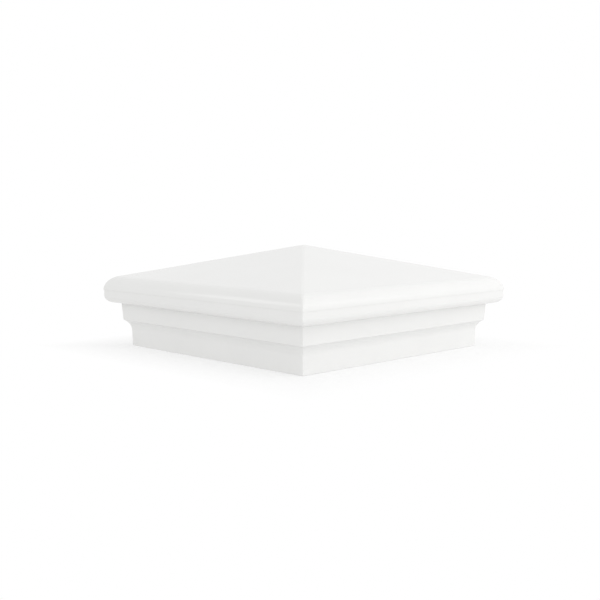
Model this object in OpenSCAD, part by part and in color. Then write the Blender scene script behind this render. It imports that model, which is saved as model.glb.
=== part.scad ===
// Fence post cap: a hollow two-piece moulding that drops over a square post.
// The crown is the pyramid roof with the upper half of the rim. The skirt is the lower half of the rim
// with the band, the cove and the apron. They lap at a seam on the rim's widest line, and four screws
// driven up from inside the socket hold them together.
//
// Millimetres, +Z up. The origin is the middle of the apron's bottom edge.
// Every section below is drawn as half-width against height, then carried round the four sides.

/* [Post] */
// Width of the square post that the cap fits
post_w = 127; // [88:1:140]
// Gap between the post and each wall of the socket
post_gap = 0.8; // [0.4:0.1:1.5]
// How far the post goes in before it meets the corner webs
post_depth = 24; // [22:0.1:26]

/* [Skirt] */
// Wall thickness of both mouldings
wall = 3; // [2.4:0.1:3.4]
// Height of the plain apron below the cove
apron_h = 8.8; // [6:0.1:12]
// How far the apron leans out from its bottom edge to its top
apron_draft = 0.2; // [0:0.05:0.5]
// How far the cove carries the band out past the apron
cove_out = 3.3; // [2:0.1:4.5]
// Radius of the cove
cove_r = 6.5; // [5:0.1:8]
// Height of the soffit, under the overhang, above the bottom edge
soffit_h = 24; // [22:0.1:27]
// How far the band leans out from its bottom edge to its top
band_draft = 0.7; // [0:0.05:1]
// How far the rim stands out past the top of the band
overhang = 6.7; // [5:0.1:9]
// Height of the rim from the soffit up to the seam
rim_lower_h = 7.1; // [6:0.1:9]
// Rounding of the drip edge under the rim
drip_r = 4.1; // [2:0.1:4.5]

/* [Crown] */
// How far the crown stands out past the skirt at the seam
seam_step = 0.25; // [0.1:0.05:0.4]
// Upright strip of the crown just above the seam
crown_land = 0.2; // [0.1:0.1:2]
// Rounding from the rim into the roof
rim_r = 7.6; // [6:0.1:10]
// Pitch of the four roof faces
roof_pitch = 13.55; // [8:0.05:25]

/* [Corners] */
// Half the width of the flat that eases each upright corner and each hip of the roof
corner_ease = 0.4; // [0.1:0.1:1]

/* [Seam] */
// Height of the lip that reaches down inside the skirt
lip_h = 3; // [2:0.1:3]
// Thickness of the lip
lip_t = 1.4; // [1:0.1:1.6]
// Clearance round the lip
lip_gap = 0.25; // [0.2:0.05:0.4]

/* [Screws] */
// Distance of each screw from the middle, along X and along Y
screw_at = 56; // [52:0.5:57]
// Diameter over the thread of each screw
screw_d = 3.5; // [3:0.1:4]
// Length of each screw below its head
screw_l = 9.5; // [8:0.5:10]
// Diameter of the pan head
head_d = 6.8; // [6:0.1:7.5]
// Height of the pan head
head_h = 2.4; // [2:0.1:2.8]

/* [Hidden] */
$fn = 48;

// Reaches past a face that a cut runs through
over = 1;
// Clearance round each screw's thread, and round its head
thread_gap = 0.3;
head_gap = 0.4;

// Heights, from the bottom edge up
cove_z = apron_h;
cove_h = sqrt(cove_r * cove_r - pow(cove_r - cove_out, 2));
band_z = cove_z + cove_h;
soffit_z = soffit_h;
band_h = soffit_z - band_z;
seam_z = soffit_z + rim_lower_h;
crown_arc_z = seam_z + crown_land;

// Half-widths, from the socket out
socket_half = post_w / 2 + post_gap;
apron_half = socket_half + wall;
cove_half = apron_half + apron_draft;
band_half = cove_half + cove_out;
soffit_half = band_half + band_draft;
rim_half = soffit_half + overhang;
crown_half = rim_half + seam_step;
crown_arc_half = crown_half - rim_r;

// Hollow of the skirt: socket, then the wider room behind the band, then the rim
room_half = band_half + band_draft / 2 - wall;
room_z = band_z + wall;
shelf_z = soffit_z + wall;
rim_room_half = rim_half - wall;
lead_in = 0.8;

// Lip of the crown and the rebate in the skirt that takes it
lip_inner_half = crown_half - wall;
lip_outer_half = lip_inner_half + lip_t;
rebate_half = lip_outer_half + lip_gap;
rebate_z = seam_z - lip_h - lip_gap;

// Corner webs that stop the post, and the towers in them that take the screws
web_leg = 36;
web_bite = 0.5;
tower_r = 6;
tower_below_seam = 0.7;
tower_top_z = seam_z - tower_below_seam;
seat_z = post_depth + head_h + head_gap;
head_room_r = head_d / 2 + head_gap;
shank_hole_r = screw_d / 2 + thread_gap;

// Bosses under the roof, and the spare depth of their pilot holes past the screws' tips
boss_r = 4.4;
pilot_spare = 1;
pilot_top_z = seat_z + screw_l + pilot_spare;

// Cross ribs under the roof
rib_t = 2;
rib_depth = 7;

// Crush ribs on the socket's walls, and the gap that they leave beside the post
crush_r = 1;
crush_gap = 0.1;
crush_proud = post_gap - crush_gap;
crush_at = 32;

// Thread of the screws, drawn as one ring for each turn, with a plain neck and a blunt tip
thread_pitch = 1.3;
thread_depth = 0.45;
neck_l = 0.5;
tip_l = 1.5;
thread_root_r = screw_d / 2 - thread_depth;
thread_turns = floor((screw_l - neck_l - tip_l) / thread_pitch);

// Height of the roof's apex for a section that lies a given distance inside the outer face
function apex_z(inset) =
    crown_arc_z + (rim_r - inset) * cos(roof_pitch)
    + (crown_arc_half + (rim_r - inset) * sin(roof_pitch)) * tan(roof_pitch);

// Runs a section along a straight line through the middle, turned about the upright axis
module run(turn) {
    rotate([90, 0, turn])
        linear_extrude(height = 4 * crown_half, center = true)
            children();
}

// Carries a section round the four sides, so that it meets itself in a mitre at each corner
module around_square() {
    intersection() {
        run(0)
            children();
        run(90)
            children();
    }
}

// Section seen corner to corner, drawn in by the ease on both sides
module corner_section() {
    intersection() {
        translate([-corner_ease, 0])
            scale([sqrt(2), 1])
                children();
        translate([corner_ease, 0])
            scale([sqrt(2), 1])
                children();
    }
}

// The same round, with a narrow flat down each corner
module around_eased_square() {
    intersection() {
        around_square()
            children();
        run(45)
            corner_section()
                children();
        run(135)
            corner_section()
                children();
    }
}

// Repeats a piece at the four corners of a square
module at_corners(distance) {
    for (x = [-1, 1])
        for (y = [-1, 1])
            translate([x * distance, y * distance, 0])
                children();
}

// Square block, or the outline of a square hollow, between two heights
module square_block(half, z_low, z_high) {
    translate([-half, -half, z_low])
        cube([2 * half, 2 * half, z_high - z_low]);
}

// Section strip, wider or narrower at the top than at the bottom
module strip(half_low, half_high, z_low, z_high) {
    polygon([
        [-half_low, z_low],
        [half_low, z_low],
        [half_high, z_high],
        [-half_high, z_high]
    ]);
}

// Section of the roof and upper rim, a given distance inside the outer face
module crown_section(inset, z_low) {
    r = rim_r - inset;
    half = crown_half - inset;
    tangent_half = crown_arc_half + r * sin(roof_pitch);
    tangent_z = crown_arc_z + r * cos(roof_pitch);
    intersection() {
        union() {
            polygon([
                [-half, z_low],
                [half, z_low],
                [half, crown_arc_z],
                [tangent_half, tangent_z],
                [0, apex_z(inset)],
                [-tangent_half, tangent_z],
                [-half, crown_arc_z]
            ]);
            for (side = [-1, 1])
                translate([side * crown_arc_half, crown_arc_z])
                    circle(r = r);
        }
        strip(half + over, half + over, z_low, apex_z(inset) + over);
    }
}

// Section of the skirt's outside
module skirt_section() {
    strip(apron_half, cove_half, 0, cove_z);
    difference() {
        strip(band_half - band_draft * cove_h / band_h, soffit_half, cove_z, soffit_z);
        for (side = [-1, 1])
            translate([side * (cove_half + cove_r), cove_z])
                circle(r = cove_r);
    }
    strip(rim_half - drip_r, rim_half - drip_r, soffit_z, seam_z);
    strip(rim_half, rim_half, soffit_z + drip_r, seam_z);
    for (side = [-1, 1])
        translate([side * (rim_half - drip_r), soffit_z + drip_r])
            circle(r = drip_r);
}

// Section of the skirt's hollow
module skirt_hollow_section() {
    strip(socket_half + lead_in + over, socket_half, -over, lead_in);
    strip(socket_half, socket_half, 0, cove_z);
    strip(socket_half, room_half, cove_z, room_z);
    strip(room_half, room_half, room_z, shelf_z);
    strip(rim_room_half, rim_room_half, shelf_z, seam_z + over);
    strip(rebate_half, rebate_half, rebate_z, seam_z + over);
}

// Diagonal rib that follows the underside of the roof from the middle to two bosses
module roof_rib() {
    reach = screw_at * sqrt(2);
    top_z = apex_z(wall) + wall / 2;
    drop = screw_at * tan(roof_pitch);
    rotate([90, 0, 0])
        linear_extrude(height = rib_t, center = true)
            polygon([
                [0, top_z],
                [reach, top_z - drop],
                [reach, top_z - drop - rib_depth],
                [0, top_z - rib_depth],
                [-reach, top_z - drop - rib_depth],
                [-reach, top_z - drop]
            ]);
}

// Triangular web across one corner of the skirt's hollow
module corner_web() {
    corner = room_half + web_bite;
    translate([0, 0, post_depth])
        linear_extrude(height = wall)
            polygon([
                [corner, corner],
                [corner - web_leg, corner],
                [corner, corner - web_leg]
            ]);
}

// Half-round rib up one wall of the socket, with a cone at its foot that leads the post in
module crush_rib() {
    translate([crush_at, socket_half + crush_r - crush_proud, lead_in]) {
        cylinder(h = crush_r, r1 = crush_r - crush_proud, r2 = crush_r);
        translate([0, 0, crush_r])
            cylinder(h = cove_z - lead_in - crush_r, r = crush_r);
    }
}

// Outline of the thread: one ring for each turn, then a blunt tip
function thread_points() = [
    for (turn = [0 : thread_turns - 1])
        for (step = [0, 0.5, 1])
            [step == 0.5 ? screw_d / 2 : thread_root_r, neck_l + (turn + step) * thread_pitch]
];

// Self-tapping screw, standing on its head's seat
module screw() {
    cross_l = head_d * 0.55;
    cross_w = head_d * 0.15;
    cross_depth = head_h * 0.6;
    dome_r = head_d;
    difference() {
        intersection() {
            translate([0, 0, -head_h])
                cylinder(h = head_h, d = head_d);
            translate([0, 0, dome_r - head_h])
                sphere(r = dome_r);
        }
        for (turn = [0, 90])
            rotate(turn)
                translate([-cross_l / 2, -cross_w / 2, -head_h - over])
                    cube([cross_l, cross_w, cross_depth + over]);
    }
    rotate_extrude()
        polygon(concat(
            [[0, -head_h * 0.2], [thread_root_r, -head_h * 0.2]],
            thread_points(),
            [[thread_root_r * 0.4, screw_l], [0, screw_l]]
        ));
}

module crown() {
    color([0.93, 0.93, 0.92])
        difference() {
            union() {
                difference() {
                    union() {
                        around_eased_square()
                            crown_section(0, seam_z);
                        square_block(lip_outer_half, seam_z - lip_h, seam_z + over);
                    }
                    around_square()
                        crown_section(wall, seam_z - lip_h - over);
                }
                intersection() {
                    around_square()
                        crown_section(wall / 2, seam_z - lip_h);
                    union() {
                        for (turn = [45, 135])
                            rotate(turn)
                                roof_rib();
                        at_corners(screw_at)
                            translate([0, 0, tower_top_z])
                                cylinder(h = apex_z(0), r = boss_r);
                    }
                }
            }
            at_corners(screw_at)
                translate([0, 0, tower_top_z - over])
                    cylinder(h = pilot_top_z - tower_top_z + over, r = shank_hole_r);
        }
}

module skirt() {
    color([0.90, 0.90, 0.89])
        difference() {
            union() {
                difference() {
                    around_eased_square()
                        skirt_section();
                    around_square()
                        skirt_hollow_section();
                }
                for (turn = [0 : 90 : 270])
                    rotate(turn) {
                        corner_web();
                        translate([screw_at, screw_at, post_depth])
                            cylinder(h = tower_top_z - post_depth, r = tower_r);
                        crush_rib();
                        mirror([1, 0, 0])
                            crush_rib();
                    }
            }
            at_corners(screw_at) {
                translate([0, 0, post_depth - over])
                    cylinder(h = seat_z - post_depth + over, r = head_room_r);
                translate([0, 0, post_depth])
                    cylinder(h = tower_top_z - post_depth + over, r = shank_hole_r);
            }
        }
}

module corner_screws() {
    color([0.72, 0.73, 0.74])
        at_corners(screw_at)
            translate([0, 0, seat_z])
                screw();
}

crown();
skirt();
corner_screws();
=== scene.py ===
"""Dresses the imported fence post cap: two vinyl mouldings, four screws and a pale studio stage."""

import math

import bmesh
import bpy
from mathutils import Matrix, Vector


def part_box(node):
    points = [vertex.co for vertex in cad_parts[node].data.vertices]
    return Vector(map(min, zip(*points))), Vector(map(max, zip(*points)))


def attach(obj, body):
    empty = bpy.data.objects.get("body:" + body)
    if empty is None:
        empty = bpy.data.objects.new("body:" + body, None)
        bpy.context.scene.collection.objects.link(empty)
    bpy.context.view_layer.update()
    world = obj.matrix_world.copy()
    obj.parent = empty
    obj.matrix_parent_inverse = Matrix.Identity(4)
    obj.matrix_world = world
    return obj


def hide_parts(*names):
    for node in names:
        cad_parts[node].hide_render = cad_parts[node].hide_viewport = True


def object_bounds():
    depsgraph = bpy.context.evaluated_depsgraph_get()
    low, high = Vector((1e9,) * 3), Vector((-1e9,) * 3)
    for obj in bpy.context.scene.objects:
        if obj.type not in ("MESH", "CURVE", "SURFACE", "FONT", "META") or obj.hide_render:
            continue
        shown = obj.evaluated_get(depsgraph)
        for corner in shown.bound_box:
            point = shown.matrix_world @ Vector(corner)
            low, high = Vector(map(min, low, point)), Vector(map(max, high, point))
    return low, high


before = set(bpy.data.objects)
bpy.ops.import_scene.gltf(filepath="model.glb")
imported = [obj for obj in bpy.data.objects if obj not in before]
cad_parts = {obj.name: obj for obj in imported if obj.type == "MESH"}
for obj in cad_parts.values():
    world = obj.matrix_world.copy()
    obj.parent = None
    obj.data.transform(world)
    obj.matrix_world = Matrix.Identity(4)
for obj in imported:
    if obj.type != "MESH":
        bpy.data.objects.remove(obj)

bl_info = {
    "name": "Fence Post Cap",
    "version": (1, 0, 0),
    "blender": (4, 5, 0),
    "location": "View3D > Sidebar > Post Cap",
    "description": "Builds the crown, the skirt and the screws of a square fence post cap on a studio stage",
    "category": "Object",
}

BODY = "root"

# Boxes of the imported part, which the sizes below start from
CAD_LOW, CAD_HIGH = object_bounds()
CROWN_LOW, CROWN_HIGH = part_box("crown")
SKIRT_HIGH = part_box("skirt")[1]
SCREWS_LOW, SCREWS_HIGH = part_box("corner_screws")

MM = 0.001

# Steps in a rounded corner of the plan, in an eased edge, and in the larger curves of the section
CORNER_STEPS = 6
EASE_STEPS = 5
BEVEL_STEPS = 4
RIM_STEPS = 24
DRIP_STEPS = 16
COVE_STEPS = 12
APEX_STEPS = 5

# Largest corner radius of a square ring, as a share of its half-width
ROUNDEST = 0.9

# Sides of the round features, and rows of the thread for each turn
ROUND_SIDES = 48
SCREW_SIDES = 32
ROWS_PER_TURN = 10

# Half the width of the thread's crest as a share of its pitch, and the share of the width at the blunt tip
CREST_HALF = 0.3
TIP_SHARE = 0.4

# How much narrower the cross recess is at its floor than at its mouth, as a share of its width there
RECESS_TAPER = 0.35

# How far each screw stops past the one before it
SCREW_TURN = math.radians(37)

# Radius of the gate's stub as a share of the pad's, and rounding of the stub as a share of its height
STUB_SHARE = 1 / 3

# Edges that turn by more than this stay crisp in the shading
CRISP_ANGLE = math.radians(35)

# The patch of the surround that each softbox fills: headings in degrees to the left of the camera's own
# heading, and heights in degrees above the floor. All of them stand at one distance, in metres.
SOFTBOXES = {
    "left_strip": ((83, 95), (13, 28)),
    "right_strip": ((262, 274), (13, 28)),
    "left_box": ((120, 175), (5, 40)),
    "right_box": ((220, 300), (10, 60)),
    "low_box": ((215, 300), (2, 16)),
}
SOFTBOX_DISTANCE = 0.8

# The softboxes that show in reflections. The large ones don't, so that no roof face turns white in them.
GLINTS = ("left_strip", "right_strip")

# Half the width of the floor in metres, its corner radius, and how far it reaches in under the apron's wall
FLOOR_REACH = 4.0
FLOOR_CORNER = 0.1 * MM
FLOOR_LAP = 1 * MM

# Width of the camera's sensor in millimetres, and the nearest and farthest distance that it sees in metres
SENSOR_WIDTH = 36.0
CLIP_START = 0.01
CLIP_END = 50.0

# How far a cutter reaches past the face that it opens, and a rib into the wall that carries it
OVER = 1 * MM
BITE = 0.5 * MM

# Vertices closer than this are one vertex
WELD = 0.002 * MM


def length(name, description, default):
    """Makes a property for a length in metres."""
    return bpy.props.FloatProperty(
        name=name,
        description=description,
        default=default,
        min=0.0,
        precision=5,
        subtype="DISTANCE",
        unit="LENGTH",
    )


def share(name, description, default, high=1.0):
    """Makes a property for a plain number, such as a roughness or a brightness."""
    return bpy.props.FloatProperty(
        name=name, description=description, default=default, min=0.0, max=high, subtype="FACTOR"
    )


def repeats(name, description, default):
    """Makes a property for how often a pattern repeats in a metre."""
    return bpy.props.FloatProperty(name=name, description=description, default=default, min=0.0)


def angle(name, description, degrees):
    """Makes a property for an angle."""
    return bpy.props.FloatProperty(
        name=name,
        description=description,
        default=math.radians(degrees),
        subtype="ANGLE",
        unit="ROTATION",
    )


def colour(name, description, default):
    """Makes a property for a colour."""
    return bpy.props.FloatVectorProperty(
        name=name, description=description, default=default, size=3, min=0.0, max=1.0, subtype="COLOR"
    )


class PostCapSizes(bpy.types.PropertyGroup):
    """Sizes of the mouldings and the screws."""

    wall: length("Wall", "Wall thickness of both mouldings", 3 * MM)
    rim_half: length("Rim half-width", "Half the width of the skirt's rim", SKIRT_HIGH.x)
    seam_z: length("Seam height", "Height of the seam above the bottom edge", SKIRT_HIGH.z)
    apron_h: length("Apron height", "Height of the plain apron below the cove", 8.8 * MM)
    apron_lean: length("Apron lean", "How far the apron leans out to its top", 0.2 * MM)
    cove_out: length("Cove reach", "How far the cove carries the band out", 3.3 * MM)
    cove_radius: length("Cove radius", "Radius of the cove", 6.5 * MM)
    soffit_z: length("Soffit height", "Height of the soffit above the bottom edge", 24 * MM)
    band_lean: length("Band lean", "How far the band leans out to its top", 0.7 * MM)
    overhang: length("Overhang", "How far the rim stands out past the band", 6.7 * MM)
    drip_radius: length("Drip radius", "Rounding of the drip edge under the rim", 4.1 * MM)
    lead_in: length("Lead-in", "Chamfer at the mouth of the socket", 0.8 * MM)

    crown_half: length("Crown half-width", "Half the width of the crown", CROWN_HIGH.x)
    crown_land: length("Crown land", "Upright strip of the crown above the seam", 0.2 * MM)
    rim_radius: length("Rim radius", "Rounding from the rim into the roof", 7.6 * MM)
    roof_pitch: angle("Roof pitch", "Pitch of the four roof faces", 13.55)
    lip_z: length("Lip height", "Height of the lip's lower edge above the bottom edge", CROWN_LOW.z)
    lip_t: length("Lip thickness", "Thickness of the lip inside the skirt", 1.4 * MM)
    lip_gap: length("Lip gap", "Clearance round the lip", 0.25 * MM)

    apex_radius: length("Apex radius", "Rounding of the roof's point", 10 * MM)
    hip_radius: length("Hip radius", "Rounding of the roof's hips, seen from above", 1.4 * MM)
    corner_radius: length("Corner radius", "Rounding of the upright corners", 0.45 * MM)
    edge_radius: length("Edge radius", "Rounding of the arris and the bottom edge", 0.45 * MM)
    seam_radius: length("Seam radius", "Rounding of the two edges that meet at the seam", 0.07 * MM)
    nook_radius: length("Nook radius", "Rounding of the corners inside the mouldings", 0.8 * MM)

    web_leg: length("Web leg", "Length of each leg of the corner webs", 36 * MM)
    tower_radius: length("Tower radius", "Radius of the towers that take the screws", 6 * MM)
    tower_drop: length("Tower drop", "How far the towers end below the seam", 0.7 * MM)
    tower_ease: length("Tower rounding", "Rounding of the towers' upper edges", 0.4 * MM)
    boss_radius: length("Boss radius", "Radius of the bosses under the roof", 4.4 * MM)
    boss_ease: length("Boss rounding", "Rounding of the bosses' lower edges", 0.3 * MM)
    hole_chamfer: length("Hole chamfer", "Chamfer at the mouth of each screw hole", 0.3 * MM)
    rib_t: length("Rib thickness", "Thickness of the cross ribs under the roof", 2 * MM)
    rib_depth: length("Rib depth", "Depth of the cross ribs under the roof", 7 * MM)
    rib_ease: length("Rib rounding", "Rounding of the free edges of the ribs and the webs", 0.5 * MM)
    gate_radius: length("Gate radius", "Radius of the pad in the middle that fills the mould", 3.5 * MM)
    gate_stub: length("Gate stub", "Height of the stub that is left on the pad", 0.6 * MM)
    pin_radius: length("Pin mark radius", "Radius of the ejector pin marks under the roof", 3 * MM)
    pin_depth: length("Pin mark depth", "Depth of the ejector pin marks", 0.15 * MM)
    pin_out: length("Pin mark reach", "Distance of the pin marks from the middle of the cap", 46 * MM)
    pin_apart: length("Pin mark offset", "Distance of the pin marks from the middle of a side", 22 * MM)
    crush_radius: length("Crush rib radius", "Radius of the crush ribs in the socket", 1 * MM)
    crush_proud: length("Crush rib height", "How far the crush ribs stand out of the wall", 0.7 * MM)
    crush_at: length("Crush rib place", "Distance of the crush ribs from a side's middle", 32 * MM)

    screw_d: length("Screw diameter", "Diameter over the thread", 3.5 * MM)
    head_d: length("Head diameter", "Diameter of the pan head", 6.8 * MM)
    head_h: length("Head height", "Height of the pan head", 2.4 * MM)
    head_ease: length("Head rounding", "Rounding of the pan head's edge", 0.48 * MM)
    neck_l: length("Neck length", "Length of the plain neck under the head", 0.65 * MM)
    tip_l: length("Tip length", "Length of the tapered tip", 1.56 * MM)
    recess_depth: length("Recess depth", "Depth of the cross recess", 1.44 * MM)
    recess_reach: length("Recess reach", "Reach of the cross recess from its middle, at its mouth", 1.87 * MM)
    recess_half: length("Recess half-width", "Half the width of the recess's wings at its mouth", 0.51 * MM)
    thread_pitch: length("Thread pitch", "Height of one turn of the thread", 1.3 * MM)
    thread_depth: length("Thread depth", "Height of the thread over its core", 0.45 * MM)
    thread_gap: length("Thread gap", "Clearance round the thread", 0.3 * MM)
    head_gap: length("Head gap", "Clearance round and under the head", 0.4 * MM)


class PostCapFinish(bpy.types.PropertyGroup):
    """Colours and surfaces of the vinyl and the zinc."""

    vinyl: colour("Vinyl", "Colour of the white vinyl", (0.87, 0.87, 0.86))
    vinyl_shade: colour("Vinyl shade", "Colour of the vinyl's faint flow marks", (0.86, 0.86, 0.849))
    vinyl_roughness: share("Vinyl roughness", "Roughness of the moulded skin", 0.14)
    vinyl_spread: share("Vinyl spread", "How far the skin's roughness varies", 0.02)
    vinyl_index: share("Vinyl index", "Refractive index of the vinyl", 1.5, 3.0)
    flow_repeats: repeats("Flow marks", "Flow marks in a metre", 28.0)
    peel_repeats: repeats("Orange peel", "Bumps of the orange peel in a metre", 420.0)
    peel_height: length("Peel height", "Height of the orange peel", 0.0015 * MM)
    zinc: colour("Zinc", "Colour of the zinc plating", (0.62, 0.63, 0.64))
    zinc_shade: colour("Zinc shade", "Colour of the plating's darker crystals", (0.5, 0.51, 0.53))
    zinc_roughness: share("Zinc roughness", "Roughness of the plating", 0.34)
    zinc_spread: share("Zinc spread", "How far the plating's roughness varies", 0.08)
    crystal_repeats: repeats("Crystals", "Crystals of the plating in a metre", 1600.0)
    grain_repeats: repeats("Grain", "Grains of the plating in a metre", 900.0)
    grain_height: length("Grain height", "Height of the plating's grain", 0.008 * MM)
    grain_strength: share("Grain strength", "How strongly the plating's grain shows", 0.6)


class PostCapStage(bpy.types.PropertyGroup):
    """Camera, lamps and floor."""

    camera_place: bpy.props.FloatVectorProperty(
        name="Camera place",
        description="Where the camera stands",
        default=(0.36386, -0.36103, 0.07674),
        size=3,
        subtype="XYZ",
        unit="LENGTH",
    )
    camera_heading: angle("Camera heading", "Turn of the view from +Y towards -X", 45.436)
    camera_pitch: angle("Camera pitch", "How far the camera looks down", 5.717)
    camera_lens: bpy.props.FloatProperty(
        name="Lens", description="Focal length in millimetres", default=55.82, min=1.0
    )
    fill: share("Fill", "Brightness of the even light from all round", 0.778, 10.0)
    left_strip: share("Left strip", "Brightness of the narrow softbox on the left", 1.13, 10.0)
    right_strip: share("Right strip", "Brightness of the narrow softbox on the right", 0.45, 10.0)
    left_box: share("Left softbox", "Brightness of the softbox at the front on the left", 0.45, 10.0)
    right_box: share("Right softbox", "Brightness of the wide softbox on the right", 0.61, 10.0)
    low_box: share("Low softbox", "Brightness of the softbox low on the right", 1.25, 10.0)
    floor: colour("Floor", "Colour of the floor", (0.97, 0.97, 0.97))
    floor_sheer: share("Floor sheer", "Share of the surround's light that comes up through the floor", 0.5)
    contact_white: share("White at the cap", "How far the floor shows as plain white beside the cap", 0.5)
    contact_reach: length("Contact reach", "How far from the cap the floor turns plain white", 40 * MM)


class CapShape:
    """Heights and half-widths of the cap, worked out from the sizes in the sidebar."""

    def __init__(self, sizes):
        self.sizes = sizes
        # Skirt, from the rim in to the socket
        self.soffit_half = sizes.rim_half - sizes.overhang
        self.band_half = self.soffit_half - sizes.band_lean
        self.cove_half = self.band_half - sizes.cove_out
        self.apron_half = self.cove_half - sizes.apron_lean
        self.socket_half = self.apron_half - sizes.wall
        self.room_half = self.band_half + sizes.band_lean / 2 - sizes.wall
        self.rim_room_half = sizes.rim_half - sizes.wall
        # Skirt, from the bottom edge up
        self.cove_turn = math.acos(1 - sizes.cove_out / sizes.cove_radius)
        self.band_z = sizes.apron_h + sizes.cove_radius * math.sin(self.cove_turn)
        self.room_z = self.band_z + sizes.wall
        self.shelf_z = sizes.soffit_z + sizes.wall
        # Crown, its lip and the rebate that takes it
        self.arc_half = sizes.crown_half - sizes.rim_radius
        self.arc_z = sizes.seam_z + sizes.crown_land
        self.lip_inner_half = sizes.crown_half - sizes.wall
        self.lip_outer_half = self.lip_inner_half + sizes.lip_t
        self.rebate_half = self.lip_outer_half + sizes.lip_gap
        self.rebate_z = sizes.lip_z - sizes.lip_gap
        # Screws
        self.screw_at = SCREWS_HIGH.x - sizes.head_d / 2
        self.seat_z = SCREWS_LOW.z + sizes.head_h
        self.screw_l = SCREWS_HIGH.z - self.seat_z
        self.tower_top_z = sizes.seam_z - sizes.tower_drop
        self.hole_radius = sizes.screw_d / 2 + sizes.thread_gap

    def apex_z(self, inset):
        """Height of the sharp apex of a roof that lies a given distance inside the outer face."""
        radius = self.sizes.rim_radius - inset
        pitch = self.sizes.roof_pitch
        tangent_half = self.arc_half + radius * math.sin(pitch)
        return self.arc_z + radius * math.cos(pitch) + tangent_half * math.tan(pitch)


def arc(half, z, radius, start, end, steps):
    """Points of a circular arc in the section, from one angle to another."""
    turns = (start + (end - start) * step / steps for step in range(steps + 1))
    return [(half + radius * math.cos(turn), z + radius * math.sin(turn)) for turn in turns]


def eased(corners, closed=False):
    """Section path through (half, z, radius) corners, each rounded by its own radius."""
    path = []
    count = len(corners)
    for index, (half, z, radius) in enumerate(corners):
        at_end = not closed and index in (0, count - 1)
        if radius == 0 or at_end:
            path.append((half, z))
            continue
        here = Vector((half, z))
        back = (Vector(corners[index - 1][:2]) - here).normalized()
        ahead = (Vector(corners[(index + 1) % count][:2]) - here).normalized()
        opening = back.angle(ahead) / 2
        centre = here + (back + ahead).normalized() * (radius / math.sin(opening))
        reach = radius / math.tan(opening)
        spoke_in = here + back * reach - centre
        spoke_out = here + ahead * reach - centre
        start = math.atan2(spoke_in.y, spoke_in.x)
        sweep = math.remainder(math.atan2(spoke_out.y, spoke_out.x) - start, 2 * math.pi)
        path.extend(arc(centre.x, centre.y, radius, start, start + sweep, EASE_STEPS))
    return path


def plain(points):
    """Section points as corners that stay as they are."""
    return [(half, z, 0) for half, z in points]


def square_ring(mesh, half, z, radius):
    """Adds one level ring of vertices: a square with rounded corners."""
    radius = min(radius, ROUNDEST * half)
    inner = half - radius
    ring = []
    for quarter in range(4):
        middle = (quarter + 0.5) * math.pi / 2
        centre_x = math.copysign(inner, math.cos(middle))
        centre_y = math.copysign(inner, math.sin(middle))
        for step in range(CORNER_STEPS + 1):
            turn = (quarter + step / CORNER_STEPS) * math.pi / 2
            place = (centre_x + radius * math.cos(turn), centre_y + radius * math.sin(turn), z)
            ring.append(mesh.verts.new(place))
    return ring


def round_ring(mesh, centre, radius, z, sides):
    """Adds one level ring of vertices: a circle."""
    turns = (2 * math.pi * side / sides for side in range(sides))
    return [
        mesh.verts.new((centre.x + radius * math.cos(turn), centre.y + radius * math.sin(turn), z))
        for turn in turns
    ]


def bridge(mesh, lower, upper):
    """Joins two rings with a strip of faces."""
    count = len(lower)
    for index in range(count):
        after = (index + 1) % count
        mesh.faces.new((lower[index], lower[after], upper[after], upper[index]))


def close_ring(mesh, ring, place):
    """Closes a ring with a fan of faces round one vertex."""
    hub = mesh.verts.new(place)
    count = len(ring)
    for index in range(count):
        mesh.faces.new((ring[index], ring[(index + 1) % count], hub))


def new_piece(name, mesh):
    """Turns a finished bmesh into an object."""
    data = bpy.data.meshes.new(name)
    mesh.to_mesh(data)
    mesh.free()
    piece = bpy.data.objects.new(name, data)
    bpy.context.scene.collection.objects.link(piece)
    return piece


def new_solid(name, mesh):
    """Turns a closed bmesh into an object with its faces pointing outwards."""
    bmesh.ops.recalc_face_normals(mesh, faces=mesh.faces)
    return new_piece(name, mesh)


def lathe(mesh, profile, centre, sides):
    """Adds a round solid: a (radius, z) profile that starts and ends on the upright axis."""
    rings = [round_ring(mesh, centre, radius, z, sides) for radius, z in profile[1:-1]]
    for lower, upper in zip(rings, rings[1:]):
        bridge(mesh, lower, upper)
    close_ring(mesh, rings[0], (centre.x, centre.y, profile[0][1]))
    close_ring(mesh, rings[-1], (centre.x, centre.y, profile[-1][1]))


def prism(mesh, outline, rise):
    """Adds a prism: an outline of 3D points, carried along a vector."""
    low = [mesh.verts.new(point) for point in outline]
    high = [mesh.verts.new(Vector(point) + rise) for point in outline]
    mesh.faces.new(low)
    mesh.faces.new(high)
    bridge(mesh, low, high)


def round_edges(mesh, edges, radius):
    """Rounds some edges of a mesh that isn't finished yet."""
    bmesh.ops.bevel(mesh, geom=edges, offset=radius, segments=BEVEL_STEPS, profile=0.5, affect="EDGES")


def corner_places(distance):
    """Middles of the four corner features."""
    return [Vector((x * distance, y * distance, 0)) for x in (-1, 1) for y in (-1, 1)]


def verts_added(mesh, build):
    """Runs a step that adds to a mesh, and gives back the vertices that it added."""
    before = set(mesh.verts)
    build(mesh)
    return [vert for vert in mesh.verts if vert not in before]


def turn_about_axis(mesh, verts, turn):
    """Turns some vertices about the cap's upright axis."""
    bmesh.ops.rotate(mesh, verts=verts, cent=(0, 0, 0), matrix=Matrix.Rotation(turn, 3, "Z"))


def turned_copies(mesh, build):
    """Builds the same feature on the four sides of the cap."""
    for quarter in range(4):
        turn_about_axis(mesh, verts_added(mesh, build), quarter * math.pi / 2)


def round_features(name, profile, places, sides=ROUND_SIDES):
    """One object that holds the same round solid at several places."""
    mesh = bmesh.new()
    for place in places:
        lathe(mesh, profile, place, sides)
    return new_solid(name, mesh)


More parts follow.
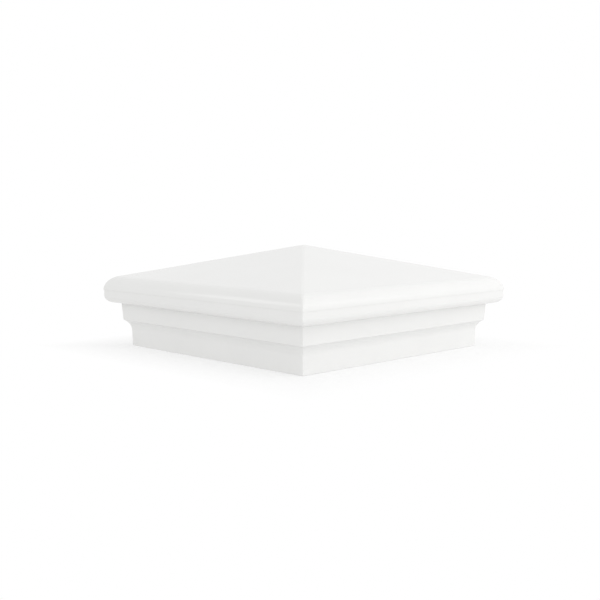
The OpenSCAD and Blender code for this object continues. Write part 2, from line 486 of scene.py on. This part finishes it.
def combine(piece, tool, operation):
    """Joins a tool to a piece or cuts it out of it, and clears the tool away."""
    step = piece.modifiers.new(tool.name, "BOOLEAN")
    step.operation = operation
    step.solver = "EXACT"
    step.object = tool
    graph = bpy.context.evaluated_depsgraph_get()
    result = bpy.data.meshes.new_from_object(piece.evaluated_get(graph))
    mesh = bmesh.new()
    mesh.from_mesh(result)
    bmesh.ops.remove_doubles(mesh, verts=mesh.verts, dist=WELD)
    mesh.to_mesh(result)
    mesh.free()
    old = piece.data
    piece.modifiers.clear()
    piece.data = result
    bpy.data.meshes.remove(old)
    bpy.data.objects.remove(tool)


def dress(piece, material, node):
    """Gives a piece its shading, its finish and its place in the frame."""
    data = piece.data
    data.name = piece.name
    data.materials.clear()
    data.materials.append(material)
    data.polygons.foreach_set("use_smooth", [True] * len(data.polygons))
    data.set_sharp_from_angle(angle=CRISP_ANGLE)
    weighting = piece.modifiers.new("Even shading", "WEIGHTED_NORMAL")
    weighting.keep_sharp = True
    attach(piece, BODY)
    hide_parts(node)


def crown_stations(shape):
    """Rings of the crown as (half, z, corner radius), from its apex down and back up inside."""
    sizes = shape.sizes
    pitch = sizes.roof_pitch
    tangent_turn = math.pi / 2 - pitch

    def roof(inset, steps):
        """Half section from just beside the apex down to the upright wall."""
        dome = sizes.apex_radius - inset
        dome_z = shape.apex_z(inset) - dome / math.cos(pitch)
        point = arc(0, dome_z, dome, math.pi / 2, tangent_turn, APEX_STEPS)
        shoulder = arc(shape.arc_half, shape.arc_z, sizes.rim_radius - inset, tangent_turn, 0, steps)
        return point[1:] + shoulder

    def hip(z):
        """Corner radius of the outside, which widens from the rim's corner to the hip."""
        rise = sizes.rim_radius * math.cos(pitch)
        part = min(max((z - shape.arc_z) / rise, 0), 1)
        return sizes.corner_radius + (sizes.hip_radius - sizes.corner_radius) * part

    outside = roof(0, RIM_STEPS)
    inside = roof(sizes.wall, RIM_STEPS // 2)
    inside.reverse()
    turn_under = eased(
        [
            (*outside[-1], 0),
            (sizes.crown_half, sizes.seam_z, sizes.seam_radius),
            (shape.lip_outer_half, sizes.seam_z, sizes.lip_gap / 2),
            (shape.lip_outer_half, sizes.lip_z, sizes.seam_radius),
            (shape.lip_inner_half, sizes.lip_z, sizes.seam_radius),
            (*inside[0], 0),
        ]
    )[1:-1]
    rings = [(half, z, hip(z)) for half, z in outside]
    rings += [(half, z, sizes.corner_radius) for half, z in turn_under]
    rings += [(half, z, sizes.nook_radius) for half, z in inside]
    return rings


def crown_shell(shape):
    """The crown's moulded shell, without its ribs and bosses."""
    mesh = bmesh.new()
    rings = [square_ring(mesh, *station) for station in crown_stations(shape)]
    for lower, upper in zip(rings, rings[1:]):
        bridge(mesh, lower, upper)
    pitch = shape.sizes.roof_pitch
    for ring, inset in ((rings[0], 0), (rings[-1], shape.sizes.wall)):
        lift = (shape.sizes.apex_radius - inset) * (1 / math.cos(pitch) - 1)
        close_ring(mesh, ring, (0, 0, shape.apex_z(inset) - lift))
    return new_solid("crown_moulding", mesh)


def rib_slope(sizes):
    """Fall of the roof's underside along a hip."""
    return math.tan(sizes.roof_pitch) / math.sqrt(2)


def rib_low_z(shape, out):
    """Height of the ribs' lower edge at a distance from the middle, measured along a hip.

    A rib's depth counts from halfway through the roof's wall.
    """
    sizes = shape.sizes
    return shape.apex_z(sizes.wall) + sizes.wall / 2 - sizes.rib_depth - out * rib_slope(sizes)


def roof_ribs(shape):
    """Ribs under the four hips, from inside the gate pad out into the bosses."""
    sizes = shape.sizes
    start = sizes.gate_radius / 2
    end = shape.screw_at * math.sqrt(2) - (shape.hole_radius + sizes.boss_radius) / 2
    low = rib_low_z(shape, start)
    high = shape.apex_z(sizes.wall) + BITE - start * rib_slope(sizes)
    half = sizes.rib_t / 2
    section = eased(
        [(-half, high, 0), (-half, low, sizes.rib_ease), (half, low, sizes.rib_ease), (half, high, 0)]
    )
    outward = Vector((1, 1, 0)).normalized()
    sideways = Vector((-1, 1, 0)).normalized()
    downhill = outward - Vector((0, 0, rib_slope(sizes)))

    def rib(mesh):
        outline = [outward * start + sideways * across + Vector((0, 0, z)) for across, z in section]
        prism(mesh, outline, downhill * (end - start))

    mesh = bmesh.new()
    turned_copies(mesh, rib)
    return new_solid("roof_ribs", mesh)


def gate_profile(shape):
    """Profile of the pad where the ribs meet, with the stub of plastic that the mould leaves there."""
    sizes = shape.sizes
    high = shape.apex_z(sizes.wall) + BITE
    low = rib_low_z(shape, sizes.gate_radius) - sizes.rib_ease
    stub = sizes.gate_radius * STUB_SHARE
    ease = sizes.gate_stub * STUB_SHARE
    return eased(
        [
            (0, low - sizes.gate_stub, 0),
            (stub, low - sizes.gate_stub, ease),
            (stub, low, ease),
            (sizes.gate_radius, low, sizes.rib_ease),
            (sizes.gate_radius, high, 0),
            (0, high, 0),
        ]
    )


def pin_marks(shape):
    """Cutters for the shallow discs that the ejector pins leave, square to each face under the roof."""
    sizes = shape.sizes
    pitch = sizes.roof_pitch
    square_on = Vector((math.sin(pitch), 0, math.cos(pitch)))
    downhill = Vector((math.cos(pitch), 0, -math.sin(pitch)))
    level = Vector((0, 1, 0))
    z = shape.apex_z(sizes.wall) - sizes.pin_out * math.tan(pitch)

    def pair(mesh):
        for side in (-1, 1):
            middle = Vector((sizes.pin_out, side * sizes.pin_apart, z)) - square_on * OVER
            turns = (2 * math.pi * step / ROUND_SIDES for step in range(ROUND_SIDES))
            spokes = (downhill * math.cos(turn) + level * math.sin(turn) for turn in turns)
            outline = [middle + spoke * sizes.pin_radius for spoke in spokes]
            prism(mesh, outline, square_on * (OVER + sizes.pin_depth))

    mesh = bmesh.new()
    turned_copies(mesh, pair)
    return new_solid("pin_marks", mesh)


def boss_top(shape):
    """Height at which a boss ends inside the thickness of the sloping roof."""
    sizes = shape.sizes
    near = shape.screw_at - sizes.boss_radius
    far = shape.screw_at + sizes.boss_radius
    slope = math.tan(sizes.roof_pitch)
    return (shape.apex_z(sizes.wall) - near * slope + shape.apex_z(0) - far * slope) / 2


def corner_webs(shape):
    """Triangular webs across the corners of the skirt's hollow."""
    sizes = shape.sizes
    corner = shape.room_half + BITE

    def web(mesh):
        z = sizes.soffit_z
        outline = [
            (corner, corner, z),
            (corner - sizes.web_leg, corner, z),
            (corner, corner - sizes.web_leg, z),
        ]
        prism(mesh, outline, Vector((0, 0, sizes.wall)))

    def is_free(edge):
        """Whether an edge runs across the corner, from wall to wall."""
        run = edge.verts[0].co - edge.verts[1].co
        return abs(run.x) > BITE and abs(run.y) > BITE

    mesh = bmesh.new()
    turned_copies(mesh, web)
    free = [edge for edge in mesh.edges if is_free(edge)]
    round_edges(mesh, free, sizes.rib_ease)
    return new_solid("corner_webs", mesh)


def crush_ribs(shape):
    """Half-round ribs up the socket's walls, with a cone at each foot."""
    sizes = shape.sizes
    across = shape.socket_half + sizes.crush_radius - sizes.crush_proud
    foot = sizes.lead_in
    profile = [
        (0, foot),
        (sizes.crush_radius - sizes.crush_proud, foot),
        (sizes.crush_radius, foot + sizes.crush_radius),
        (sizes.crush_radius, sizes.apron_h),
        (0, sizes.apron_h),
    ]

    def pair(mesh):
        for side in (-1, 1):
            lathe(mesh, profile, Vector((side * sizes.crush_at, across, 0)), ROUND_SIDES // 2)

    mesh = bmesh.new()
    turned_copies(mesh, pair)
    return new_solid("crush_ribs", mesh)


def skirt_path(shape):
    """Closed section of the skirt, up its outside and down its hollow."""
    sizes = shape.sizes
    cove = arc(
        shape.cove_half + sizes.cove_radius,
        sizes.apron_h,
        sizes.cove_radius,
        math.pi,
        math.pi - shape.cove_turn,
        COVE_STEPS,
    )[:-1]
    drip = arc(
        sizes.rim_half - sizes.drip_radius,
        sizes.soffit_z + sizes.drip_radius,
        sizes.drip_radius,
        -math.pi / 2,
        0,
        DRIP_STEPS,
    )
    outside = [
        (shape.socket_half + sizes.lead_in, 0, 0),
        (shape.apron_half, 0, sizes.edge_radius),
        *plain(cove),
        (shape.band_half, shape.band_z, sizes.edge_radius),
        (shape.soffit_half, sizes.soffit_z, sizes.edge_radius),
        *plain(drip),
        (sizes.rim_half, sizes.seam_z, sizes.seam_radius),
    ]
    hollow = [
        (shape.rebate_half, sizes.seam_z, sizes.lip_gap),
        (shape.rebate_half, shape.rebate_z, sizes.lip_gap),
        (shape.rim_room_half, shape.rebate_z, sizes.seam_radius),
        (shape.rim_room_half, shape.shelf_z, sizes.seam_radius),
        (shape.room_half, shape.shelf_z, sizes.seam_radius),
        (shape.room_half, shape.room_z, sizes.nook_radius),
        (shape.socket_half, sizes.apron_h, sizes.nook_radius),
        (shape.socket_half, sizes.lead_in, sizes.seam_radius),
    ]
    outer_count = len(eased(outside))
    path = eased(outside + hollow, closed=True)
    return path, outer_count


def skirt_shell(shape):
    """The skirt's moulded shell, without its webs, towers and crush ribs."""
    sizes = shape.sizes
    path, outer_count = skirt_path(shape)
    mesh = bmesh.new()
    rings = []
    for index, (half, z) in enumerate(path):
        radius = sizes.corner_radius if index <= outer_count else sizes.nook_radius
        rings.append(square_ring(mesh, half, z, radius))
    for index, ring in enumerate(rings):
        bridge(mesh, ring, rings[(index + 1) % len(rings)])
    return new_solid("skirt_moulding", mesh)


def screw_body(shape):
    """One self-tapping screw on the axis: domed pan head, plain neck, helical thread and blunt tip."""
    sizes = shape.sizes
    head_r = sizes.head_d / 2
    core_r = sizes.screw_d / 2 - sizes.thread_depth
    dome_r = sizes.head_d
    dome_turn = math.asin(head_r / dome_r)
    middle = Vector((0, 0, 0))
    mesh = bmesh.new()
    dome = arc(0, dome_r - sizes.head_h, dome_r, -math.pi / 2, dome_turn - math.pi / 2, EASE_STEPS)
    head = eased([*plain(dome[1:-1]), (*dome[-1], sizes.head_ease), (head_r, 0, 0), (core_r, 0, 0)])
    rings = [round_ring(mesh, middle, radius, z, SCREW_SIDES) for radius, z in head]
    threaded = shape.screw_l - sizes.neck_l
    rows = math.ceil(threaded / sizes.thread_pitch * ROWS_PER_TURN)
    for row in range(rows + 1):
        climb = threaded * row / rows
        z = sizes.neck_l + climb
        taper = min(1, TIP_SHARE + (1 - TIP_SHARE) * (threaded - climb) / sizes.tip_l)
        fade = min(1, climb / sizes.thread_pitch)
        ring = []
        for side in range(SCREW_SIDES):
            turn = side / SCREW_SIDES
            phase = (climb / sizes.thread_pitch - turn) % 1.0
            crest = max(0, 1 - abs(phase - 0.5) / CREST_HALF)
            radius = taper * (core_r + fade * crest * sizes.thread_depth)
            swing = 2 * math.pi * turn
            ring.append(mesh.verts.new((radius * math.cos(swing), radius * math.sin(swing), z)))
        rings.append(ring)
    for lower, upper in zip(rings, rings[1:]):
        bridge(mesh, lower, upper)
    close_ring(mesh, rings[0], (0, 0, -sizes.head_h))
    close_ring(mesh, rings[-1], (0, 0, shape.screw_l))
    return new_solid("screw_body", mesh)


def recess_wing(shape, turn):
    """Cutter for two opposite wings of the cross recess in a screw's head, wider towards its mouth."""
    sizes = shape.sizes
    mesh = bmesh.new()
    rings = []
    for side in (-1, 1):
        z = side * sizes.recess_depth - sizes.head_h
        part = 1 - side * RECESS_TAPER
        along = part * sizes.recess_reach
        across = part * sizes.recess_half
        outline = [(along, across), (-along, across), (-along, -across), (along, -across)]
        rings.append([mesh.verts.new((x, y, z)) for x, y in outline])
    bridge(mesh, *rings)
    for ring in rings:
        mesh.faces.new(ring)
    turn_about_axis(mesh, mesh.verts, turn)
    return new_solid("recess_wing", mesh)


class ShaderSheet:
    """A material's node tree, with short calls to add and link its nodes."""

    def __init__(self, tree):
        self.tree = tree
        self.tree.nodes.clear()

    def add(self, kind, settings=None, **inputs):
        """Adds a node, sets its own settings, then sets or links its inputs by name."""
        node = self.tree.nodes.new(kind)
        for key, value in (settings or {}).items():
            setattr(node, key, value)
        for key, value in inputs.items():
            self.feed(node.inputs[key.replace("_", " ")], value)
        return node

    def feed(self, socket, value):
        """Links an output to a socket, or sets the socket's own value."""
        if isinstance(value, bpy.types.NodeSocket):
            self.tree.links.new(value, socket)
        else:
            socket.default_value = value


def new_material(name):
    """Empty node material and the sheet that fills it."""
    material = bpy.data.materials.new(name)
    material.use_nodes = True
    return material, ShaderSheet(material.node_tree)


def two_tones(sheet, factor, dark, light, low=0.35, high=0.65):
    """Colour ramp between two close tones."""
    ramp = sheet.add("ShaderNodeValToRGB", Fac=factor)
    ramp.color_ramp.elements[0].position = low
    ramp.color_ramp.elements[0].color = (*dark, 1)
    ramp.color_ramp.elements[1].position = high
    ramp.color_ramp.elements[1].color = (*light, 1)
    return ramp.outputs["Color"]


def spread(sheet, factor, low, high):
    """Turns a 0 to 1 pattern into a range of values."""
    return sheet.add("ShaderNodeMapRange", Value=factor, To_Min=low, To_Max=high).outputs["Result"]


def noise(sheet, place, scale, detail):
    """Soft 0 to 1 pattern over the surface."""
    return sheet.add("ShaderNodeTexNoise", Vector=place, Scale=scale, Detail=detail).outputs["Fac"]


def bump(sheet, pattern, strength, height):
    """Surface normal of a fine relief."""
    inputs = {"Height": pattern, "Strength": strength, "Distance": height}
    return sheet.add("ShaderNodeBump", **inputs).outputs["Normal"]


def vinyl_material(finish):
    """White rigid vinyl: a smooth moulded skin with faint flow marks and a fine orange peel."""
    material, sheet = new_material("white_vinyl_skin")
    place = sheet.add("ShaderNodeTexCoord").outputs["Object"]
    flow = noise(sheet, place, finish.flow_repeats, detail=2.0)
    peel = noise(sheet, place, finish.peel_repeats, detail=1.0)
    skin = bump(sheet, peel, strength=1.0, height=finish.peel_height)
    gloss = finish.vinyl_roughness
    shader = sheet.add(
        "ShaderNodeBsdfPrincipled",
        Base_Color=two_tones(sheet, flow, finish.vinyl_shade, finish.vinyl),
        Roughness=spread(sheet, flow, gloss - finish.vinyl_spread, gloss + finish.vinyl_spread),
        IOR=finish.vinyl_index,
        Normal=skin,
    )
    sheet.add("ShaderNodeOutputMaterial", Surface=shader.outputs["BSDF"])
    return material


def zinc_material(finish):
    """Bright zinc plating: small crystals of two greys, with a fine grain."""
    material, sheet = new_material("zinc_plating")
    place = sheet.add("ShaderNodeTexCoord").outputs["Object"]
    cells = sheet.add("ShaderNodeTexVoronoi", Vector=place, Scale=finish.crystal_repeats)
    crystal = cells.outputs["Distance"]
    grain = noise(sheet, place, finish.grain_repeats, detail=4.0)
    skin = bump(sheet, grain, strength=finish.grain_strength, height=finish.grain_height)
    gloss = finish.zinc_roughness
    shader = sheet.add(
        "ShaderNodeBsdfPrincipled",
        Base_Color=two_tones(sheet, crystal, finish.zinc_shade, finish.zinc, low=0.1, high=0.7),
        Metallic=1.0,
        Roughness=spread(sheet, grain, gloss - finish.zinc_spread, gloss + finish.zinc_spread),
        Normal=skin,
    )
    sheet.add("ShaderNodeOutputMaterial", Surface=shader.outputs["BSDF"])
    return material


def shared_material(name, build, finish):
    """The material of that name, built the first time that it is asked for."""
    return bpy.data.materials.get(name) or build(finish)


def seen_directly(sheet):
    """One for rays from the camera, a mirror or glass, and zero for rays that light the object."""
    path = sheet.add("ShaderNodeLightPath").outputs
    result = path["Is Camera Ray"]
    for other in ("Is Glossy Ray", "Is Transmission Ray"):
        join = sheet.add("ShaderNodeMath", {"operation": "MAXIMUM"})
        sheet.feed(join.inputs[0], result)
        sheet.feed(join.inputs[1], path[other])
        result = join.outputs["Value"]
    return result


def mix_shaders(sheet, factor, first, second):
    """Mix of two shaders."""
    mix = sheet.add("ShaderNodeMixShader", Fac=factor)
    sheet.feed(mix.inputs[1], first)
    sheet.feed(mix.inputs[2], second)
    return mix.outputs["Shader"]


def footprint_distance(sheet, half):
    """How far a point of the floor lies outside the cap's square footprint."""
    place = sheet.add("ShaderNodeTexCoord").outputs["Object"]
    size = sheet.add("ShaderNodeVectorMath", {"operation": "ABSOLUTE"})
    sheet.feed(size.inputs[0], place)
    parts = sheet.add("ShaderNodeSeparateXYZ", Vector=size.outputs["Vector"]).outputs
    wider = sheet.add("ShaderNodeMath", {"operation": "MAXIMUM"})
    sheet.feed(wider.inputs[0], parts["X"])
    sheet.feed(wider.inputs[1], parts["Y"])
    outside = sheet.add("ShaderNodeMath", {"operation": "SUBTRACT"})
    sheet.feed(outside.inputs[0], wider.outputs["Value"])
    sheet.feed(outside.inputs[1], half)
    return outside.outputs["Value"]


def floor_material(stage, half):
    """Sheer white table: it shows white, keeps the cap's shadow and is clear from below."""
    material, sheet = new_material("studio_floor")
    paint = sheet.add("ShaderNodeBsdfDiffuse", Color=(*stage.floor, 1)).outputs["BSDF"]
    white = sheet.add("ShaderNodeEmission", Strength=1.0).outputs["Emission"]
    clear = sheet.add("ShaderNodeBsdfTransparent").outputs["BSDF"]
    fade = sheet.add(
        "ShaderNodeMapRange",
        Value=footprint_distance(sheet, half),
        From_Max=stage.contact_reach,
        To_Min=stage.contact_white,
    ).outputs["Result"]
    shown = mix_shaders(sheet, fade, paint, white)
    lit = mix_shaders(sheet, stage.floor_sheer, paint, clear)
    top = mix_shaders(sheet, seen_directly(sheet), lit, shown)
    below = sheet.add("ShaderNodeNewGeometry").outputs["Backfacing"]
    sheet.add("ShaderNodeOutputMaterial", Surface=mix_shaders(sheet, below, top, clear))
    return material


def make_floor(stage, shape):
    """Broad level floor, open under the socket so that views from below see light in the hollow."""
    hole = shape.apron_half - FLOOR_LAP
    mesh = bmesh.new()
    rings = [square_ring(mesh, half, 0, FLOOR_CORNER) for half in (FLOOR_REACH, hole)]
    bridge(mesh, *rings)
    floor = new_piece("studio_floor", mesh)
    floor.data.materials.append(floor_material(stage, shape.apron_half))


def make_world(stage):
    """Even light from all round, with plain white behind everything that is seen directly."""
    world = bpy.data.worlds.new("studio_surround")
    bpy.context.scene.world = world
    world.use_nodes = True
    sheet = ShaderSheet(world.node_tree)
    fill = sheet.add("ShaderNodeBackground", Color=(1, 1, 1, 1), Strength=stage.fill)
    white = sheet.add("ShaderNodeBackground", Color=(1, 1, 1, 1), Strength=1.0)
    mixed = mix_shaders(
        sheet, seen_directly(sheet), fill.outputs["Background"], white.outputs["Background"]
    )
    sheet.add("ShaderNodeOutputWorld", Surface=mixed)


def softbox(name, stage, headings, heights, brightness):
    """Lamp that fills a patch of the surround, between two headings and two heights."""
    turn = stage.camera_heading + math.radians(sum(headings) / 2)
    rise = math.radians(sum(heights) / 2)
    reach = 2 * SOFTBOX_DISTANCE
    width = reach * math.tan(math.radians(headings[1] - headings[0]) / 2) * math.cos(rise)
    height = reach * math.tan(math.radians(heights[1] - heights[0]) / 2)
    away = Vector((-math.sin(turn) * math.cos(rise), math.cos(turn) * math.cos(rise), math.sin(rise)))
    lamp = bpy.data.lights.new(name, "AREA")
    lamp.shape = "RECTANGLE"
    lamp.size = width
    lamp.size_y = height
    lamp.energy = brightness * math.pi * width * height
    holder = bpy.data.objects.new(name, lamp)
    holder.location = away * SOFTBOX_DISTANCE + Vector((0, 0, CAD_HIGH.z / 2))
    holder.rotation_mode = "QUATERNION"
    holder.rotation_quaternion = (-away).to_track_quat("-Z", "Y")
    holder.visible_camera = False
    holder.visible_glossy = name in GLINTS
    bpy.context.scene.collection.objects.link(holder)


def make_camera(stage):
    """Camera at the photograph's viewing angle."""
    data = bpy.data.cameras.new("studio_camera")
    data.sensor_width = SENSOR_WIDTH
    data.lens = stage.camera_lens
    data.clip_start = CLIP_START
    data.clip_end = CLIP_END
    camera = bpy.data.objects.new("studio_camera", data)
    camera.location = stage.camera_place
    camera.rotation_euler = (math.pi / 2 - stage.camera_pitch, 0, stage.camera_heading)
    bpy.context.scene.collection.objects.link(camera)
    bpy.context.scene.camera = camera


class POSTCAP_OT_make_crown(bpy.types.Operator):
    """Build the crown: roof, upper rim, lip, ribs, gate pad, pin marks and bosses"""

    bl_idname = "post_cap.make_crown"
    bl_label = "Crown"

    def execute(self, context):
        shape = CapShape(context.scene.post_cap_sizes)
        sizes = shape.sizes
        places = corner_places(shape.screw_at)
        piece = crown_shell(shape)
        gate = round_features("gate_pad", gate_profile(shape), [Vector((0, 0, 0))])
        combine(piece, gate, "UNION")
        combine(piece, roof_ribs(shape), "UNION")
        combine(piece, pin_marks(shape), "DIFFERENCE")
        low = shape.tower_top_z
        high = boss_top(shape)
        radius = sizes.boss_radius
        boss = eased([(0, low, 0), (radius, low, sizes.boss_ease), (radius, high, 0), (0, high, 0)])
        combine(piece, round_features("bosses", boss, places), "UNION")
        chamfer_z = low + sizes.hole_chamfer
        end = shape.seat_z + shape.screw_l + OVER
        pilot = [
            (0, low - OVER),
            (shape.hole_radius + OVER, chamfer_z - OVER),
            (shape.hole_radius, chamfer_z),
            (shape.hole_radius, end),
            (0, end + shape.hole_radius / 2),
        ]
        combine(piece, round_features("pilot_holes", pilot, places), "DIFFERENCE")
        vinyl = shared_material("white_vinyl_skin", vinyl_material, context.scene.post_cap_finish)
        dress(piece, vinyl, "crown")
        return {"FINISHED"}


class POSTCAP_OT_make_skirt(bpy.types.Operator):
    """Build the skirt: lower rim, soffit, band, cove, apron, corner webs, towers and crush ribs"""

    bl_idname = "post_cap.make_skirt"
    bl_label = "Skirt"

    def execute(self, context):
        shape = CapShape(context.scene.post_cap_sizes)
        sizes = shape.sizes
        places = corner_places(shape.screw_at)
        piece = skirt_shell(shape)
        combine(piece, corner_webs(shape), "UNION")
        low = sizes.soffit_z + BITE
        high = shape.tower_top_z
        radius = sizes.tower_radius
        tower = eased([(0, low, 0), (radius, low, 0), (radius, high, sizes.tower_ease), (0, high, 0)])
        combine(piece, round_features("towers", tower, places), "UNION")
        combine(piece, crush_ribs(shape), "UNION")
        head_room = sizes.head_d / 2 + sizes.head_gap
        mouth = sizes.soffit_z
        bore = [
            (0, mouth - OVER),
            (head_room + OVER + sizes.hole_chamfer, mouth - OVER),
            (head_room, mouth + sizes.hole_chamfer),
            (head_room, shape.seat_z),
            (shape.hole_radius, shape.seat_z),
            (shape.hole_radius, high + OVER),
            (0, high + OVER),
        ]
        combine(piece, round_features("screw_bores", bore, places), "DIFFERENCE")
        vinyl = shared_material("white_vinyl_skin", vinyl_material, context.scene.post_cap_finish)
        dress(piece, vinyl, "skirt")
        return {"FINISHED"}


class POSTCAP_OT_make_screws(bpy.types.Operator):
    """Build the four corner screws with domed heads, cross recesses and helical threads"""

    bl_idname = "post_cap.make_screws"
    bl_label = "Corner screws"

    def execute(self, context):
        shape = CapShape(context.scene.post_cap_sizes)
        screw = screw_body(shape)
        for turn in (0, math.pi / 2):
            combine(screw, recess_wing(shape, turn), "DIFFERENCE")
        mesh = bmesh.new()
        for index, place in enumerate(corner_places(shape.screw_at)):
            added = verts_added(mesh, lambda target: target.from_mesh(screw.data))
            turn_about_axis(mesh, added, index * SCREW_TURN)
            bmesh.ops.translate(mesh, verts=added, vec=place + Vector((0, 0, shape.seat_z)))
        old = screw.data
        bpy.data.objects.remove(screw)
        bpy.data.meshes.remove(old)
        piece = new_solid("corner_screw_set", mesh)
        dress(piece, zinc_material(context.scene.post_cap_finish), "corner_screws")
        return {"FINISHED"}


class POSTCAP_OT_set_stage(bpy.types.Operator):
    """Set the floor, the surround, the softboxes and the camera"""

    bl_idname = "post_cap.set_stage"
    bl_label = "Stage"

    def execute(self, context):
        stage = context.scene.post_cap_stage
        make_floor(stage, CapShape(context.scene.post_cap_sizes))
        make_world(stage)
        for name, patch in SOFTBOXES.items():
            softbox(name, stage, *patch, getattr(stage, name))
        make_camera(stage)
        context.scene.view_settings.view_transform = "Standard"
        return {"FINISHED"}


class POSTCAP_PT_sidebar(bpy.types.Panel):
    """Lists the steps that build the cap"""

    bl_label = "Fence Post Cap"
    bl_idname = "POSTCAP_PT_sidebar"
    bl_space_type = "VIEW_3D"
    bl_region_type = "UI"
    bl_category = "Post Cap"

    def draw(self, context):
        for operator in OPERATORS:
            self.layout.operator(operator.bl_idname)
        for name in GROUPS:
            group = getattr(context.scene, name)
            box = self.layout.box()
            for key in group.__annotations__:
                box.prop(group, key)


GROUPS = {
    "post_cap_sizes": PostCapSizes,
    "post_cap_finish": PostCapFinish,
    "post_cap_stage": PostCapStage,
}
OPERATORS = (
    POSTCAP_OT_make_crown,
    POSTCAP_OT_make_skirt,
    POSTCAP_OT_make_screws,
    POSTCAP_OT_set_stage,
)


def register():
    """Registers the properties, the operators and the panel."""
    for name, group in GROUPS.items():
        bpy.utils.register_class(group)
        setattr(bpy.types.Scene, name, bpy.props.PointerProperty(type=group))
    for item in (*OPERATORS, POSTCAP_PT_sidebar):
        bpy.utils.register_class(item)


def unregister():
    """Takes back what register() added."""
    for item in reversed((*OPERATORS, POSTCAP_PT_sidebar)):
        bpy.utils.unregister_class(item)
    for name, group in reversed(GROUPS.items()):
        delattr(bpy.types.Scene, name)
        bpy.utils.unregister_class(group)


def main():
    """Builds every piece in order."""
    register()
    bpy.ops.post_cap.make_crown()
    bpy.ops.post_cap.make_skirt()
    bpy.ops.post_cap.make_screws()
    bpy.ops.post_cap.set_stage()


if __name__ == "__main__":
    main()
